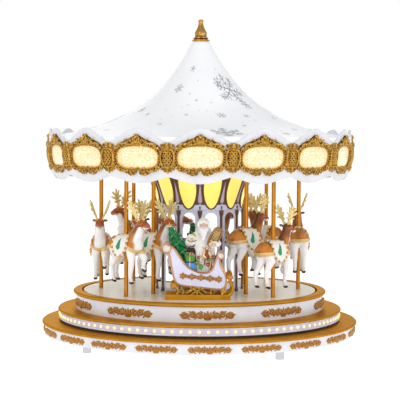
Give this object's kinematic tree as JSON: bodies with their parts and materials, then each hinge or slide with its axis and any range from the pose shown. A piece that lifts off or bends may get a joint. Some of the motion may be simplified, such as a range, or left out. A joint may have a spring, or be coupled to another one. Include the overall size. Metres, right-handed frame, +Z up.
{
  "type": "carousel music box",
  "caption": "Round lit carousel music box: stepped base with a turning stage, rising deer on poles, a sleigh, a mirrored column and a scalloped canopy under a tent roof.",
  "frame": {"origin": "centre of the underside of the feet, on the carousel's axis", "axes": "+Z up along the turning axis, -Y towards the front with the sleigh, +X to the viewer's right"},
  "size_m": [0.3999, 0.4, 0.4104],
  "materials": {
    "white_plastic": "satin",
    "screw_steel": "plain",
    "gold_moulding": "satin metallic",
    "lavender_band": "satin",
    "lamp": "lit",
    "antique_gold": "antiqued metallic",
    "dark_plastic": "matte",
    "motor_steel": "plain",
    "board": "matte",
    "gear_plastic": "matte",
    "cream_stage": "satin",
    "lilac_paint": "satin",
    "mirror": "polished",
    "bronze_trim": "satin",
    "cove_light": "lit",
    "white_canopy": "satin",
    "lit_window": "lit, crackled",
    "bright_gold": "satin metallic",
    "pole_brass": "polished",
    "deer_paint": "painted",
    "robe_white": "painted",
    "load_green": "painted"
  },
  "bodies": {
    "base": {"feet": "white_plastic", "bottom_cover": "white_plastic", "cover_screws": "screw_steel", "plinth_wall": "white_plastic", "plinth_flange": "gold_moulding", "light_band": "lavender_band", "band_lamps": "lamp", "middle_flange": "gold_moulding", "upper_tier": "white_plastic", "lip_ring": "gold_moulding", "base_scrolls": "antique_gold", "cam_plate": "dark_plastic", "gear_motor": "motor_steel", "circuit_boards": "board", "speaker": "dark_plastic", "power_inlet": "dark_plastic"},
    "carousel": {"stage_disc": "cream_stage", "stage_gear": "gear_plastic", "column_panels": "lilac_paint", "column_mirrors": "mirror", "column_ribs": "bronze_trim", "cove": "lilac_paint", "cove_lights": "cove_light", "ceiling": "white_canopy", "rim_frieze": "white_canopy", "rim_windows": "lit_window", "rim_frames": "antique_gold", "canopy_lamps": "lamp", "canopy_roof": "white_canopy", "finial": "bright_gold", "sleigh_body": "lilac_paint", "sleigh_trim": "bright_gold", "robed_figure": "robe_white", "sleigh_load": "load_green"},
    "pinion": {"motor_pinion": "gear_plastic"},
    "button": {"power_button": "white_plastic"},
    "knob": {"volume_knob": "white_plastic"},
    "rider_outer_1": {"pole_outer_1": "pole_brass", "deer_outer_1": "deer_paint"},
    "rider_outer_2": {"pole_outer_2": "pole_brass", "deer_outer_2": "deer_paint"},
    "rider_outer_3": {"pole_outer_3": "pole_brass", "deer_outer_3": "deer_paint"},
    "rider_outer_4": {"pole_outer_4": "pole_brass", "deer_outer_4": "deer_paint"},
    "rider_outer_5": {"pole_outer_5": "pole_brass", "deer_outer_5": "deer_paint"},
    "rider_outer_6": {"pole_outer_6": "pole_brass", "deer_outer_6": "deer_paint"},
    "rider_outer_7": {"pole_outer_7": "pole_brass", "deer_outer_7": "deer_paint"},
    "rider_inner_1": {"pole_inner_1": "pole_brass", "deer_inner_1": "deer_paint"},
    "rider_inner_2": {"pole_inner_2": "pole_brass", "deer_inner_2": "deer_paint"},
    "rider_inner_3": {"pole_inner_3": "pole_brass", "deer_inner_3": "deer_paint"},
    "rider_inner_4": {"pole_inner_4": "pole_brass", "deer_inner_4": "deer_paint"}
  },
  "joints": [
    {"name": "carousel_spin", "type": "hinge", "parent": "base", "child": "carousel", "pos_m": [0, 0, 0.064], "axis": [0, 0, 1], "continuous": true},
    {"name": "pinion_spin", "type": "hinge", "parent": "base", "child": "pinion", "pos_m": [0, -0.057, 0.054], "axis": [0, 0, 1], "continuous": true},
    {"name": "power_press", "type": "slide", "parent": "base", "child": "button", "axis": [0.061, -0.9981, 0], "range_m": [0, 0.0012], "stiffness_N_per_m": 400},
    {"name": "volume_turn", "type": "hinge", "parent": "base", "child": "knob", "pos_m": [0.00172, 0.19699, 0.0215], "axis": [0.0087, 1, 0], "range_deg": [-140, 140]},
    {"name": "lift_outer_1", "type": "slide", "parent": "carousel", "child": "rider_outer_1", "axis": [0, 0, 1], "range_m": [0, 0.012]},
    {"name": "lift_outer_2", "type": "slide", "parent": "carousel", "child": "rider_outer_2", "axis": [0, 0, 1], "range_m": [-0.01024, 0.00176]},
    {"name": "lift_outer_3", "type": "slide", "parent": "carousel", "child": "rider_outer_3", "axis": [0, 0, 1], "range_m": [-0.006, 0.006]},
    {"name": "lift_outer_4", "type": "slide", "parent": "carousel", "child": "rider_outer_4", "axis": [0, 0, 1], "range_m": [-0.00176, 0.01024]},
    {"name": "lift_outer_5", "type": "slide", "parent": "carousel", "child": "rider_outer_5", "axis": [0, 0, 1], "range_m": [-0.012, 0]},
    {"name": "lift_outer_6", "type": "slide", "parent": "carousel", "child": "rider_outer_6", "axis": [0, 0, 1], "range_m": [-0.00176, 0.01024]},
    {"name": "lift_outer_7", "type": "slide", "parent": "carousel", "child": "rider_outer_7", "axis": [0, 0, 1], "range_m": [-0.006, 0.006]},
    {"name": "lift_inner_1", "type": "slide", "parent": "carousel", "child": "rider_inner_1", "axis": [0, 0, 1], "range_m": [-0.012, 0]},
    {"name": "lift_inner_2", "type": "slide", "parent": "carousel", "child": "rider_inner_2", "axis": [0, 0, 1], "range_m": [-0.006, 0.006]},
    {"name": "lift_inner_3", "type": "slide", "parent": "carousel", "child": "rider_inner_3", "axis": [0, 0, 1], "range_m": [0, 0.012]},
    {"name": "lift_inner_4", "type": "slide", "parent": "carousel", "child": "rider_inner_4", "axis": [0, 0, 1], "range_m": [-0.006, 0.006]}
  ],
  "couplings": [
    {"joint": "pinion_spin", "follows": "carousel_spin", "ratio": -3.75},
    {"joint": "lift_inner_1", "follows": "lift_outer_1", "ratio": -1},
    {"joint": "lift_outer_5", "follows": "lift_outer_1", "ratio": -1},
    {"joint": "lift_inner_3", "follows": "lift_outer_1", "ratio": 1},
    {"joint": "lift_outer_6", "follows": "lift_outer_2", "ratio": -1},
    {"joint": "lift_outer_3", "follows": "lift_outer_7", "ratio": -1},
    {"joint": "lift_inner_4", "follows": "lift_outer_7", "ratio": -1},
    {"joint": "lift_inner_2", "follows": "lift_outer_7", "ratio": 1}
  ]
}
